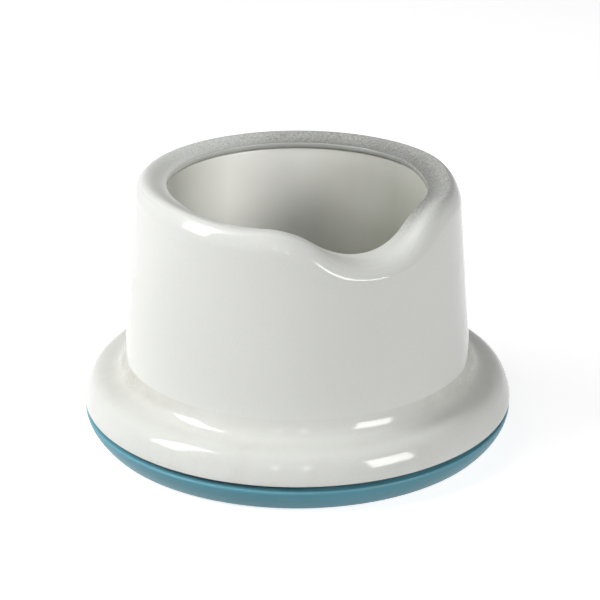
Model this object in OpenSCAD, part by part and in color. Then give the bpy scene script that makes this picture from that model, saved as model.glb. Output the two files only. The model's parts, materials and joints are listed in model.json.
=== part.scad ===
// Turning desk carousel for document stamps.
// Origin: bottom centre, on the desk. +Z up. The scoop in the rim faces -Y.
// A dish with rubber feet carries a ball race. The housing turns on it: a deck plate,
// a flared outer shell with a dipped rim, and a liner that makes the well.
// A pocketed rack turns on a post in the well and lifts out.

/* [Overall] */
// Width over the flared foot of the housing
shell_d = 130; // [110:1:160]
// Height over the rim, from the desk
total_h = 78.35; // [64:0.05:100]

/* [Feet] */
// How far the feet stand out below the dish
foot_stand = 1; // [0.6:0.1:3]
// Diameter of a foot
foot_d = 12; // [8:0.5:16]
// Number of feet
foot_count = 4; // [3:1:6]
// Depth of the recess that holds a foot
foot_recess = 0.8; // [0.4:0.1:1.5]
// From the edge of the dish's underside to a foot's centre
foot_inset = 10.4; // [8.5:0.1:14]

/* [Dish] */
// Height of the dish, without its feet
dish_h = 6.9; // [5:0.1:10]
// Thickness of the dish's floor
dish_floor_t = 2.5; // [2:0.1:3]
// How far the dish's side leans in at the bottom
dish_lean = 3.5; // [1:0.1:6]
// How far the dish's side bulges past a straight lean
dish_bulge = 0.65; // [0:0.05:1]
// Width of the dish's flat top edge
dish_rim_w = 2.9; // [2:0.1:5]
// Edge radius round the dish's top
dish_edge_r = 0.5; // [0.2:0.1:1]
// Number of stiffening ribs in the dish
dish_rib_count = 12; // [6:1:24]
// Thickness of a stiffening rib
dish_rib_t = 1.6; // [1:0.1:2.5]
// Height of a stiffening rib
dish_rib_h = 2; // [1:0.1:2.5]

/* [Ball race] */
// Ball diameter
ball_d = 4; // [3:0.05:5]
// Number of balls
ball_count = 12; // [8:1:18]
// From the housing's widest edge in to the ball circle
race_inset = 29; // [26:0.5:32]
// Width of a race ring
race_w = 12; // [9:0.5:13]
// Thickness of a race ring
race_t = 2; // [1.6:0.1:3]
// Depth of the groove in a race ring
groove_depth = 0.9; // [0.5:0.05:1.1]
// Gap between a ball and its groove
ball_play = 0.15; // [0.05:0.01:0.3]
// Gap between a ball and its hole in the cage
cage_play = 0.15; // [0.1:0.01:0.3]
// Width of the cage ring
cage_w = 7; // [6:0.5:8]
// Gap between the cage and each race
cage_gap = 0.5; // [0.3:0.05:0.8]
// Height of the ribs that centre a race ring
race_rib_h = 1.2; // [0.8:0.1:1.5]
// Thickness of the ribs that centre a race ring
race_rib_t = 1.3; // [1:0.1:2]

/* [Pivot] */
// Shoulder diameter of the pivot screw
pivot_d = 8; // [6.5:0.1:10]
// Radial running clearance of the pivot screw in its bush
pivot_fit = 0.05; // [0.02:0.01:0.1]
// End play of the housing along the pivot
pivot_play = 0.15; // [0.1:0.01:0.3]
// Wall thickness of the bush
bush_t = 2; // [1.5:0.1:3]
// Thickness of the bush's flange
bush_flange_t = 0.7; // [0.5:0.1:1.5]
// Width of the bush's flange
bush_flange_w = 2.5; // [1.5:0.1:4]
// How far the bush stands above the deck
bush_stand = 0.8; // [0.5:0.1:2]
// Thickness of the thrust washer
washer_t = 0.8; // [0.5:0.1:1.5]
// Height of the pivot screw's head
pivot_head_h = 2.2; // [1.5:0.1:3]
// How far the head stands out past the shoulder, all round
pivot_head_w = 3; // [2:0.1:4]
// Thread diameter of the pivot screw
pivot_thread_d = 5; // [4:0.5:6]
// Width of the lock nut across its flats
nut_af = 8; // [7:0.1:10]
// Height of the lock nut
nut_h = 4; // [3:0.1:4.5]
// Outer diameter of the dish's centre boss
boss_d = 18; // [16:0.5:22]

/* [Deck] */
// Thickness of the deck plate
deck_t = 2; // [1.6:0.1:3]
// Height of the deck's underside above the lower edge of the shell
deck_inset = 0.45; // [0.2:0.05:0.8]
// Gap between the deck's edge and the shell
deck_gap = 0.3; // [0.2:0.05:0.6]
// Number of deck screws
screw_count = 4; // [3:1:6]
// Shank diameter of a deck screw
screw_d = 2.9; // [2.2:0.1:3.5]
// Head diameter of a deck screw
screw_head_d = 5.6; // [4.5:0.1:6]
// Head height of a deck screw
screw_head_h = 1.9; // [1.2:0.1:2]
// Length of a deck screw under its head
screw_len = 6.5; // [5:0.5:7.5]
// From the housing's widest edge in to the screw circle
screw_inset = 9; // [8:0.1:10]
// Outer diameter of the boss that takes a deck screw
screw_boss_d = 7.6; // [6.5:0.1:8]

/* [Shell] */
// Wall thickness of the shell
wall_t = 2.4; // [1.8:0.1:3]
// Height of the upright lip at the shell's lower edge
lip_h = 1.2; // [0.6:0.05:2]
// Thickness of the shell at its lower edge
foot_t = 3.2; // [2.6:0.1:4]
// From the housing's widest edge in to the foot of the drum
flare_w = 12.6; // [10:0.1:15]
// Height of the flare, from the top of the lip to the foot of the drum
flare_h = 13.05; // [11:0.05:15]
// Lean of the flare where it leaves the lip
flare_lean = 12; // [0:0.5:20]
// How strongly the flare rises at its outer edge
flare_rise = 13.8; // [11:0.1:16]
// How strongly the flare sweeps into the drum
flare_sweep = 11.5; // [8:0.1:14]
// Angle between the flare's sweep and upright, where it meets the drum
flare_angle = 11; // [0:0.5:30]
// Lean of the drum's wall
draft = 4.94; // [2:0.01:6]

/* [Rim] */
// How far the fold, where the cap meets the drum's wall, lies below the crest
fold_drop = 5.2; // [4:0.1:8]
// Lean of the cap where it leaves the fold
fold_turn = 2; // [0:0.5:8]
// How strongly the cap rises from the fold
fold_pull = 1.9; // [1.5:0.05:3.5]
// Width of the cap from the fold in to the crest
crest_w = 3.7; // [3:0.1:5]
// How broad the cap is at the crest
crest_pull = 2; // [0.6:0.1:2.4]
// Width of the band that slopes in from the crest to the mouth
band_w = 6.1; // [4.5:0.1:7]
// How far the mouth's edge lies below the crest
band_drop = 1.95; // [1:0.05:4]
// How softly the band leaves the crest and meets the mouth's edge
band_pull = 2.1; // [1:0.1:2.8]
// Height of the upright face at the mouth's edge
mouth_face = 1.6; // [1:0.1:3]
// Wall thickness under the rim
rim_t = 2; // [1.6:0.1:2.8]

/* [Scoop] */
// Radius of the ring round which the scoop's lengths are measured
scoop_ring_r = 47.3; // [40:0.1:56]
// How far the crest dips at the scoop
crest_depth = 11; // [8:0.5:14]
// Radius of the crest's dip at its floor
crest_floor_r = 27; // [20:0.5:36]
// Radius that blends the crest's dip into the level rim
crest_blend_r = 27; // [20:0.5:40]
// How far the fold dips at the scoop
fold_depth = 8.9; // [6:0.1:11]
// Radius of the fold's dip at its floor
fold_floor_r = 43; // [30:1:50]
// Radius that blends the fold's dip into the level
fold_blend_r = 14.5; // [8:0.5:22]
// How far the mouth's edge dips at the scoop
edge_depth = 8.4; // [5:0.1:10]
// Radius of the dip in the mouth's edge at its floor
edge_floor_r = 37.7; // [28:0.1:46]
// Radius that blends the dip in the mouth's edge into the level
edge_blend_r = 31.3; // [20:0.1:40]
// How much lower the fold runs round the front than at the back
fold_fall = 1.9; // [0:0.1:3]
// How much lower the mouth's edge runs round the front than at the back
edge_fall = 1.5; // [0:0.1:2]
// Angle from the scoop's middle at which the fold and the mouth's edge start to fall
fall_from = 98; // [92:1:120]
// Angle from the scoop's middle at which they have fallen
fall_to = 62; // [58:1:80]
// How much lower the crest runs round the front than at the back
crest_fall = 1.8; // [0:0.1:3]
// Angle from the scoop's middle at which the crest starts to fall
crest_fall_from = 90; // [80:1:120]
// Angle from the scoop's middle at which it has fallen
crest_fall_to = 45; // [40:1:70]

/* [Liner] */
// Wall thickness of the liner
liner_t = 1.6; // [1.2:0.1:2]
// How far the liner's wall lies behind the edge of the mouth
liner_setback = 0.6; // [0.3:0.1:1]
// Gap between the top of the liner and the lip over it
liner_gap = 0.8; // [0.6:0.1:1.2]
// Lean of the liner's wall
liner_draft = 1; // [0.5:0.1:2]
// Thickness of the well's floor
well_floor_t = 2; // [1.6:0.1:3]
// Radius between the well's floor and its wall
well_fillet_r = 3; // [1:0.5:4]
// Gap between the pivot screw's head and the well's floor
well_gap = 0.4; // [0.3:0.1:1]

/* [Post and turntable] */
// Diameter of the post
post_d = 8; // [6:0.1:10]
// Height of the pad that the post stands on
post_pad_h = 1; // [0.8:0.1:2]
// Thickness of the post's foot flange
post_flange_t = 1.5; // [1:0.1:2.5]
// Diameter of the post's foot flange
post_flange_d = 18; // [14:0.5:22]
// Length of the sleeve on the post
sleeve_len = 12.8; // [10:0.1:16]
// Wall thickness of the sleeve
sleeve_t = 2.5; // [2:0.1:3]
// Radial running clearance of the sleeve on the post
sleeve_fit = 0.05; // [0.02:0.01:0.1]
// Gap under the sleeve and under the clip
sleeve_play = 0.2; // [0.1:0.05:0.3]
// Diameter of the turntable flange on the sleeve
table_d = 34; // [30:0.5:38]
// Thickness of the turntable flange
table_t = 2; // [1.5:0.1:3]
// Number of drive lugs
lug_count = 3; // [2:1:4]
// Diameter of a drive lug
lug_d = 3.6; // [3:0.1:4.5]
// Thickness of the clip on the post
clip_t = 0.8; // [0.6:0.1:1.2]
// Width of the clip's ring
clip_w = 2.2; // [1.6:0.1:2.6]
// How deep the clip sits in the post
clip_bite = 0.7; // [0.4:0.1:1]
// Shank diameter of the screw that holds the post
post_screw_d = 3; // [2.5:0.1:3.5]
// Length of the screw that holds the post
post_screw_len = 9; // [7:0.5:12]

/* [Rack] */
// Number of pockets
pocket_count = 8; // [5:1:8]
// Gap between the rack and the liner at the rack's height
rack_gap = 1.2; // [0.8:0.1:3]
// Thickness of the rack's floor
rack_floor_t = 2; // [1.6:0.1:3]
// Thickness of the rack's outer wall
rack_wall_t = 1.8; // [1.4:0.1:2.5]
// Height of the rack's outer wall over its floor
rack_wall_h = 6; // [4:0.5:9]
// Depth of the rebate in the floor's edge that the outer wall sits in
rebate_h = 1; // [0.6:0.1:1.4]
// Wall thickness of the rack's hub
hub_t = 2.2; // [1.8:0.1:3]
// Height of the hub over the rack's floor
hub_h = 14.5; // [13:0.5:18]
// Thickness of the hub's closed top
hub_top_t = 2; // [1.6:0.1:3]
// Sliding clearance round the sleeve and the lugs
lift_gap = 0.3; // [0.3:0.05:0.6]
// Thickness of a divider blade
blade_t = 1.3; // [1:0.1:2]
// Height of the divider blades
blade_h = 12; // [8:0.5:14]
// Thickness of the collar that joins the blades
collar_t = 1.4; // [1:0.1:2]
// Gap between the divider and the rack
divider_gap = 0.15; // [0.1:0.05:0.3]
// Diameter of the grip knob
knob_d = 15; // [12:0.5:18]
// Height of the grip knob
knob_h = 6; // [4:0.5:7]
// Number of flutes round the grip knob
flute_count = 16; // [8:1:24]
// Diameter of the knob's spigot
spigot_d = 6; // [4:0.5:8]

/* [Hidden] */
$fn = 96;
eps = 0.01;
past = 1;                // how far a cut runs past the face it leaves by

// heights of the stack, from the desk up
dish_z = foot_stand;
dish_floor_z = dish_z + dish_floor_t;
dish_top_z = dish_z + dish_h;
race_gap = ball_d + 2 * ball_play - 2 * groove_depth;
low_race_top = dish_floor_z + race_t;
ball_z = low_race_top + race_gap / 2;
up_race_z = low_race_top + race_gap;
deck_z = up_race_z + race_t;
deck_top = deck_z + deck_t;
shell_z = deck_z - deck_inset;
boss_top = deck_z - bush_flange_t - pivot_play;
bush_top = deck_top + bush_stand;
washer_z = bush_top + pivot_play;
head_z = washer_z + washer_t + pivot_play;
head_top = head_z + pivot_head_h;
well_under_z = head_top + well_gap;
well_z = well_under_z + well_floor_t;
pad_z = well_z + post_pad_h;
table_z = pad_z + post_flange_t + sleeve_play;
table_top = table_z + table_t;
tray_z = table_top + pivot_play;
tray_top = tray_z + rack_floor_t;
sleeve_top = table_z + sleeve_len;
clip_z = sleeve_top + sleeve_play;
post_top = clip_z + clip_t + 1;
hub_top = tray_top + hub_h;

// radii
shell_r = shell_d / 2;
dish_r = shell_r - 0.05;
dish_foot_r = dish_r - dish_lean;
ball_ring_r = shell_r - race_inset;
race_in_r = ball_ring_r - race_w / 2;
race_out_r = ball_ring_r + race_w / 2;
race_seat = 0.05;        // gap between a race ring and the ribs that centre it
boss_r = boss_d / 2;
bush_in_r = pivot_d / 2 + pivot_fit;
bush_out_r = bush_in_r + bush_t;
screw_ring_r = shell_r - screw_inset;
foot_ring_r = dish_foot_r - foot_inset;
deck_r = shell_r - foot_t - deck_gap;
sleeve_in_r = post_d / 2 + sleeve_fit;
sleeve_out_r = sleeve_in_r + sleeve_t;
hub_in_r = sleeve_out_r + lift_gap;
hub_out_r = hub_in_r + hub_t;
lug_ring_r = (hub_out_r + table_d / 2) / 2;

// drum and rim
flare_z = shell_z + lip_h + flare_h;
drum_r = shell_r - flare_w;
fold_z = total_h - fold_drop;
crest_r = wall_r(fold_z) - crest_w;
mouth_r = crest_r - band_w;
edge_z = total_h - band_drop;
mouth_foot = 0.1;        // how far the rim's underside falls away behind the mouth's face
liner_top_z = edge_z - mouth_face - mouth_foot - liner_gap;
liner_r = mouth_r + liner_setback;

// radius of the drum's outside at height z
function wall_r(z) = drum_r - tan(draft) * (z - flare_z);
// radius of the liner's inside at height z
function well_r(z) = liner_r - tan(liner_draft) * (liner_top_z - z);
rack_r = well_r(tray_z) - rack_gap;
ring_in_r = rack_r - rack_wall_t;
rebate_gap = 0.05;       // gap between the rack's floor and the wall round it

// turn of a dip's side where its floor meets the blend, and half its width
function dip_turn(depth, floor_r, blend_r) = acos(1 - depth / (floor_r + blend_r));
function dip_half(depth, floor_r, blend_r) = (floor_r + blend_r) * sin(dip_turn(depth, floor_r, blend_r));
// depth of a dip at the angle a from the scoop's middle
function dip(a, depth, floor_r, blend_r) =
    let (s = abs(a) * PI / 180 * scoop_ring_r,
         half = dip_half(depth, floor_r, blend_r))
    s < floor_r * sin(dip_turn(depth, floor_r, blend_r)) ? depth - floor_r + sqrt(pow(floor_r, 2) - s * s)
    : s < half ? blend_r - sqrt(pow(blend_r, 2) - pow(half - s, 2))
    : 0;
// how far a line of the rim has fallen at the angle a, smoothly from one angle to the next
function fall(a, amount, from, to) =
    let (t = max(0, min(1, (from - abs(a)) / (from - to))))
    amount * t * t * (3 - 2 * t);
function fold_dip(a) = dip(a, fold_depth, fold_floor_r, fold_blend_r)
    + fall(a, fold_fall, fall_from, fall_to);
function crest_dip(a) = dip(a, crest_depth, crest_floor_r, crest_blend_r)
    + fall(a, crest_fall, crest_fall_from, crest_fall_to);
function edge_scoop(a) = dip(a, edge_depth, edge_floor_r, edge_blend_r);
function edge_dip(a) = edge_scoop(a) + fall(a, edge_fall, fall_from, fall_to);

// point at t, 0 to 1, on the cubic curve with end points p0, p3 and handles p1, p2
function bezier(p0, p1, p2, p3, t) =
    pow(1 - t, 3) * p0 + 3 * pow(1 - t, 2) * t * p1 + 3 * (1 - t) * t * t * p2 + pow(t, 3) * p3;
// direction of the same curve at t
function bezier_dir(p0, p1, p2, p3, t) =
    pow(1 - t, 2) * (p1 - p0) + 2 * (1 - t) * t * (p2 - p1) + t * t * (p3 - p2);

// flare of the shell: an ogee from the lip up to the drum
flare_0 = [shell_r, shell_z + lip_h];
flare_1 = flare_0 + flare_rise * [-sin(flare_lean), cos(flare_lean)];
flare_3 = [wall_r(flare_z), flare_z];
flare_2 = flare_3 + flare_sweep * [sin(flare_angle), -cos(flare_angle)];
// outside of the flare, and the same moved in by the wall thickness
function flare_point(t) = bezier(flare_0, flare_1, flare_2, flare_3, t);
function flare_inner(t) =
    let (d = bezier_dir(flare_0, flare_1, flare_2, flare_3, t))
    flare_point(t) + wall_t / norm(d) * [-d[1], d[0]];

module ring(r_in, r_out, z0, z1) {
    translate([0, 0, z0])
        rotate_extrude()
            translate([r_in, 0])
                square([r_out - r_in, z1 - z0]);
}

module disc(r, z0, z1) {
    translate([0, 0, z0])
        cylinder(r = r, h = z1 - z0);
}

module around(count, r, start = 0) {
    for (i = [0 : count - 1])
        rotate(start + i * 360 / count)
            translate([r, 0, 0])
                children();
}

// ---- base ----

module rubber_feet() {
    color([0.13, 0.13, 0.14])
        around(foot_count, foot_ring_r, 45)
            disc(foot_d / 2, 0, foot_stand + foot_recess);
}

// outline of the dish's body: lean, bulge and rounded top edge
function dish_side(n) = [for (i = [0 : n])
    let (t = i / n)
    [dish_foot_r + dish_lean * t + 4 * dish_bulge * t * (1 - t),
     dish_z + (dish_h - dish_edge_r) * t]];

module base_dish() {
    side = dish_side(8);
    edge = [for (a = [0 : 30 : 90])
        [dish_r - dish_edge_r + dish_edge_r * cos(a), dish_top_z - dish_edge_r + dish_edge_r * sin(a)]];
    inner = [[dish_r - dish_edge_r - dish_rim_w, dish_top_z],
             [dish_foot_r - dish_rim_w, dish_floor_z]];
    color([0.27, 0.52, 0.59]) {
        difference() {
            union() {
                rotate_extrude()
                    polygon(concat([[0, dish_z]], side, edge, inner, [[0, dish_floor_z]]));
                disc(boss_r, dish_floor_z - eps, boss_top);
                ring(race_in_r - race_seat - race_rib_t, race_in_r - race_seat,
                     dish_floor_z - eps, dish_floor_z + race_rib_h);
                ring(race_out_r + race_seat, race_out_r + race_seat + race_rib_t,
                     dish_floor_z - eps, dish_floor_z + race_rib_h);
                dish_ribs();
            }
            around(foot_count, foot_ring_r, 45)
                disc(foot_d / 2 + 0.05, dish_z - past, dish_z + foot_recess);
            translate([0, 0, dish_z - past])
                cylinder(d = (nut_af + 0.2) / cos(30), h = nut_h + 0.4 + past, $fn = 6);
            disc(pivot_thread_d / 2 + 0.05, dish_z, boss_top + past);
        }
    }
}

module dish_ribs() {
    from = race_out_r + race_seat + race_rib_t - 0.3;
    to = dish_foot_r - dish_rim_w + 0.5;
    around(dish_rib_count, 0, 15)
        translate([from, -dish_rib_t / 2, dish_floor_z - eps])
            cube([to - from, dish_rib_t, dish_rib_h]);
}

module race(z_face, side) {
    // flat steel ring with one grooved face, at z_face, that looks along side
    difference() {
        ring(race_in_r, race_out_r, min(z_face, z_face - side * race_t), max(z_face, z_face - side * race_t));
        translate([0, 0, ball_z])
            rotate_extrude()
                translate([ball_ring_r, 0])
                    circle(r = ball_d / 2 + ball_play, $fn = 48);
    }
}

module lower_race() {
    color([0.66, 0.67, 0.68])
        race(low_race_top, 1);
}

module pivot_nut() {
    color([0.62, 0.63, 0.64])
        difference() {
            translate([0, 0, dish_z + 0.4])
                cylinder(d = nut_af / cos(30), h = nut_h, $fn = 6);
            disc(pivot_thread_d / 2 + 0.05, dish_z, dish_z + nut_h + past);
        }
}

module pivot_screw() {
    head_r = pivot_d / 2 + pivot_head_w;
    color([0.66, 0.67, 0.69])
        difference() {
            union() {
                disc(pivot_thread_d / 2, dish_z + 0.2, boss_top);
                disc(pivot_d / 2, boss_top, head_z);
                disc(head_r, head_z, head_top);
            }
            translate([0, 0, head_top - pivot_head_h * 0.7])
                cylinder(d = 4 / cos(30), h = pivot_head_h, $fn = 6);
        }
}

module thrust_washer() {
    color([0.7, 0.7, 0.71])
        ring(bush_in_r, bush_out_r + 1.5, washer_z, washer_z + washer_t);
}

// ---- ball cage ----

module ball_cage() {
    color([0.85, 0.84, 0.78])
        difference() {
            ring(ball_ring_r - cage_w / 2, ball_ring_r + cage_w / 2,
                 low_race_top + cage_gap, up_race_z - cage_gap);
            around(ball_count, ball_ring_r)
                disc(ball_d / 2 + cage_play, low_race_top, up_race_z);
        }
}

module bearing_balls() {
    color([0.75, 0.76, 0.78])
        around(ball_count, ball_ring_r)
            translate([0, 0, ball_z])
                sphere(d = ball_d, $fn = 48);
}

// ---- housing ----

module upper_race() {
    color([0.66, 0.67, 0.68])
        race(up_race_z, -1);
}

module deck_plate() {
    color([0.2, 0.2, 0.21])
        difference() {
            union() {
                disc(deck_r, deck_z, deck_top);
                ring(race_in_r - race_seat - race_rib_t, race_in_r - race_seat,
                     deck_z - race_rib_h, deck_z + eps);
                ring(race_out_r + race_seat, race_out_r + race_seat + race_rib_t,
                     deck_z - race_rib_h, deck_z + eps);
            }
            disc(bush_out_r + 0.05, deck_z - past, deck_top + past);
            around(screw_count, screw_ring_r, 45)
                disc(screw_d / 2 + 0.2, deck_z - past, deck_top + past);
        }
}

module pivot_bush() {
    color([0.9, 0.88, 0.8])
        difference() {
            union() {
                disc(bush_out_r, deck_z, bush_top);
                disc(bush_out_r + bush_flange_w, deck_z - bush_flange_t, deck_z);
            }
            disc(bush_in_r, deck_z - bush_flange_t - past, bush_top + past);
        }
}

module deck_screws() {
    color([0.6, 0.61, 0.62])
        around(screw_count, screw_ring_r, 45) {
            difference() {
                union() {
                    disc(screw_head_d / 2, deck_z - screw_head_h, deck_z);
                    disc(screw_d / 2, deck_z - eps, deck_z + screw_len);
                }
                for (a = [0, 90])
                    rotate(a)
                        translate([-screw_head_d * 0.32, -0.4, deck_z - screw_head_h - past])
                            cube([screw_head_d * 0.64, 0.8, past + screw_head_h * 0.55]);
            }
        }
}

// outline of the shell at the angle a from the scoop's middle, as one closed loop:
// lip, flare, drum wall, cap and band, then back along the inside
shell_stations = 96;
flare_steps = 12;
flare_inner_steps = 5;
cap_steps = 8;
band_steps = 6;
foot_land = 0.5;         // how far the foot's upright inside runs past the deck
edge_round = 0.3;        // rounding of the mouth's edge
edge_back = 1.5;         // how far the back of the mouth's face lies behind it
// outside of the cap, from the fold up to the crest, and of the band from there in to the mouth
cap_0 = [wall_r(fold_z), fold_z];
cap_1 = cap_0 + fold_pull * [-sin(fold_turn), cos(fold_turn)];
cap_3 = [crest_r, total_h];
cap_2 = cap_3 + [crest_pull, 0];
band_1 = cap_3 - [band_pull, 0];
band_3 = [mouth_r, edge_z];
band_2 = band_3 + [band_pull, 0];
// their points at the angle a, moved in or down by the thickness of the wall
function cap_point(t, a, inwards = 0, downwards = 0) =
    let (p = bezier(cap_0, cap_1, cap_2, cap_3, t),
         up = (p[1] - fold_z) / fold_drop)
    [p[0] + (1 - up) * (fold_dip(a) * tan(draft) - inwards),
     p[1] - (1 - up) * fold_dip(a) - up * (crest_dip(a) + downwards)];
function band_point(t, a, outwards = 0, downwards = 0) =
    let (p = bezier(cap_3, band_1, band_2, band_3, t),
         share = (crest_r - p[0]) / band_w)
    [p[0] + share * outwards, p[1] - (1 - share) * crest_dip(a) - share * edge_dip(a) - downwards];
function shell_outline(a) =
    let (edge_top = edge_z - edge_dip(a))
    concat(
        [[shell_r, shell_z]],
        [for (i = [0 : flare_steps]) flare_point(i / flare_steps)],
        [for (i = [0 : cap_steps]) cap_point(i / cap_steps, a)],
        [for (i = [1 : band_steps - 1]) band_point(i / band_steps, a)],
        [[mouth_r + edge_round, edge_top], [mouth_r, edge_top - edge_round],
         [mouth_r, edge_top - mouth_face],
         [mouth_r + edge_round, edge_top - mouth_face - mouth_foot]],
        [for (t = [0.7, 0.35]) band_point(t, a, edge_back, rim_t)],
        [for (t = [1, 0.75, 0.5, 0.25, 0]) cap_point(t, a, wall_t, rim_t)],
        [[wall_r(flare_z) - wall_t, flare_z]],
        [for (i = [flare_inner_steps : -1 : 1]) flare_inner(0.96 * i / flare_inner_steps)],
        [[shell_r - foot_t, deck_top + foot_land], [shell_r - foot_t, shell_z]]);

// solid ring skinned through closed outlines, one for each station round Z
module skin_ring(outlines) {
    n = len(outlines);
    m = len(outlines[0]);
    points = [for (k = [0 : n - 1])
        let (a = -90 + k * 360 / n)
        for (p = outlines[k]) [p[0] * cos(a), p[0] * sin(a), p[1]]];
    faces = [for (k = [0 : n - 1])
        for (j = [0 : m - 1])
            let (k2 = (k + 1) % n, j2 = (j + 1) % m,
                 p = k * m + j, q = k * m + j2, r = k2 * m + j2, s = k2 * m + j)
            each [[p, q, r], [p, r, s]]];
    polyhedron(points, faces);
}

module outer_housing() {
    boss_reach = flare_point(0.5)[1] - 0.5;
    color([0.91, 0.92, 0.9])
        difference() {
            union() {
                skin_ring([for (k = [0 : shell_stations - 1])
                    let (a = k * 360 / shell_stations)
                    shell_outline(a > 180 ? a - 360 : a)]);
                around(screw_count, screw_ring_r, 45)
                    disc(screw_boss_d / 2, deck_top, boss_reach);
            }
            around(screw_count, screw_ring_r, 45)
                disc(screw_d / 2 + 0.05, deck_top - past, deck_z + screw_len + 0.2);
        }
}

// side view of what the scoop takes from the liner, looked at from the front
cut_steps = 16;
module scoop_cut() {
    reach = dip_half(edge_depth, edge_floor_r, edge_blend_r) / scoop_ring_r * 180 / PI;
    side = liner_r * sin(reach);
    low = liner_top_z - edge_fall;
    rotate([90, 0, 0])
        linear_extrude(liner_r + liner_t + past)
            polygon(concat(
                [for (i = [-cut_steps : cut_steps])
                    let (a = reach * i / cut_steps)
                    [liner_r * sin(a), low - edge_scoop(a) - (abs(i) == cut_steps ? 0.05 : 0)]],
                [[side + past, liner_top_z + past], [-side - past, liner_top_z + past]]));
}

// what the fall of the mouth's edge takes from the liner, looked at from the side
module fall_cut() {
    front = -liner_r - liner_t - past;
    rotate([90, 0, 90])
        linear_extrude(-2 * front, center = true)
            polygon(concat(
                [[-liner_r * cos(fall_from), liner_top_z + past]],
                [for (i = [0 : cut_steps])
                    let (a = fall_from + (fall_to - fall_from) * i / cut_steps)
                    [-liner_r * cos(a), liner_top_z - fall(a, edge_fall, fall_from, fall_to)]],
                [[front, liner_top_z - edge_fall], [front, liner_top_z + past]]));
}

module well_liner() {
    floor_r = well_r(well_z);
    skirt_r = floor_r - 1;
    color([0.72, 0.73, 0.7])
        difference() {
            rotate_extrude()
                polygon(concat(
                    [[0, well_under_z], [skirt_r - liner_t, well_under_z],
                     [skirt_r - liner_t, deck_top], [skirt_r, deck_top],
                     [skirt_r, well_under_z - 0.6], [floor_r + liner_t, well_under_z + 1],
                     [liner_r + liner_t, liner_top_z], [liner_r, liner_top_z]],
                    [for (a = [0 : 15 : 90])
                        [well_r(well_z + well_fillet_r) - well_fillet_r + well_fillet_r * cos(a),
                         well_z + well_fillet_r - well_fillet_r * sin(a)]],
                    [[post_flange_d / 2 + 1, well_z], [post_flange_d / 2 + 1, pad_z], [0, pad_z]]));
            scoop_cut();
            fall_cut();
            disc(post_screw_d / 2 + 0.1, well_under_z - past, pad_z + past);
            translate([0, 0, well_under_z - eps])
                cylinder(r1 = post_screw_d + 0.15, r2 = post_screw_d / 2 + 0.1, h = post_screw_d / 2 + 0.05);
        }
}

// ---- rack post and its turntable ----

module rack_post() {
    color([0.66, 0.67, 0.69])
        difference() {
            union() {
                disc(post_flange_d / 2, pad_z, pad_z + post_flange_t);
                disc(post_d / 2, pad_z, post_top);
            }
            ring(post_d / 2 - clip_bite, post_d / 2 + past, clip_z - 0.05, clip_z + clip_t + 0.05);
            disc(post_screw_d / 2 + 0.05, pad_z - past, well_under_z + post_screw_len + 0.5);
        }
}

module post_screw() {
    color([0.6, 0.61, 0.62])
        difference() {
            union() {
                disc(post_screw_d / 2, well_under_z + 0.1, well_under_z + post_screw_len);
                translate([0, 0, well_under_z + 0.1])
                    cylinder(r1 = post_screw_d, r2 = post_screw_d / 2, h = post_screw_d / 2);
            }
            for (a = [0, 90])
                rotate(a)
                    translate([-post_screw_d * 0.55, -0.35, well_under_z - past])
                        cube([post_screw_d * 1.1, 0.7, past + 0.8]);
        }
}

module rack_turntable() {
    color([0.3, 0.31, 0.32])
        difference() {
            union() {
                disc(table_d / 2, table_z, table_top);
                disc(sleeve_out_r, table_z, sleeve_top);
                around(lug_count, lug_ring_r, 90)
                    disc(lug_d / 2, table_top - eps, tray_top - 0.3);
            }
            disc(sleeve_in_r, table_z - past, sleeve_top + past);
        }
}

module post_clip() {
    inner = post_d / 2 - clip_bite + 0.05;
    color([0.4, 0.41, 0.42])
        difference() {
            ring(inner, inner + clip_w, clip_z, clip_z + clip_t);
            translate([-inner * 0.7, 0, clip_z - past])
                cube([inner * 1.4, post_d, clip_t + 2 * past]);
        }
}

// ---- rack ----

module rack_tray() {
    color([0.83, 0.85, 0.84])
        difference() {
            union() {
                disc(rack_r, tray_z, tray_top - rebate_h);
                disc(ring_in_r - rebate_gap, tray_z, tray_top);
                disc(hub_out_r, tray_z, hub_top);
            }
            disc(hub_in_r, tray_z - past, hub_top - hub_top_t);
            disc(spigot_d / 2 + 0.05, tray_z, hub_top + past);
            around(lug_count, lug_ring_r, 90)
                disc(lug_d / 2 + lift_gap, tray_z - past, tray_top + past);
        }
}

module tray_rim() {
    color([0.83, 0.85, 0.84])
        ring(ring_in_r, rack_r, tray_top - rebate_h, tray_top + rack_wall_h);
}

module pocket_divider() {
    collar_in = hub_out_r + divider_gap;
    collar_out = collar_in + collar_t;
    z0 = tray_top + divider_gap;
    color([0.55, 0.6, 0.62]) {
        difference() {
            union() {
                disc(collar_out, z0, z0 + blade_h);
                around(pocket_count, 0, 180 / pocket_count)
                    translate([0, 0, z0])
                        rotate([90, 0, 0])
                            linear_extrude(blade_t, center = true)
                                polygon([[collar_in, 0], [ring_in_r - divider_gap, 0],
                                         [ring_in_r - divider_gap, rack_wall_h],
                                         [collar_out + 4, blade_h], [collar_in, blade_h]]);
            }
            disc(collar_in, z0 - past, z0 + blade_h + past);
        }
    }
}

module grip_knob() {
    color([0.27, 0.52, 0.59])
        difference() {
            union() {
                disc(spigot_d / 2, hub_top - hub_top_t, hub_top + eps);
                translate([0, 0, hub_top])
                    rotate_extrude()
                        polygon(concat([[0, 0], [knob_d / 2 - 1.5, 0], [knob_d / 2, 1.5]],
                            [for (a = [0 : 15 : 90])
                                [knob_d / 2 - 1.5 + 1.5 * cos(a), knob_h - 1.5 + 1.5 * sin(a)]],
                            [[0, knob_h - 0.6]]));
            }
            around(flute_count, knob_d / 2 + 0.5)
                disc(0.9, hub_top - past, hub_top + knob_h + past);
        }
}

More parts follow.
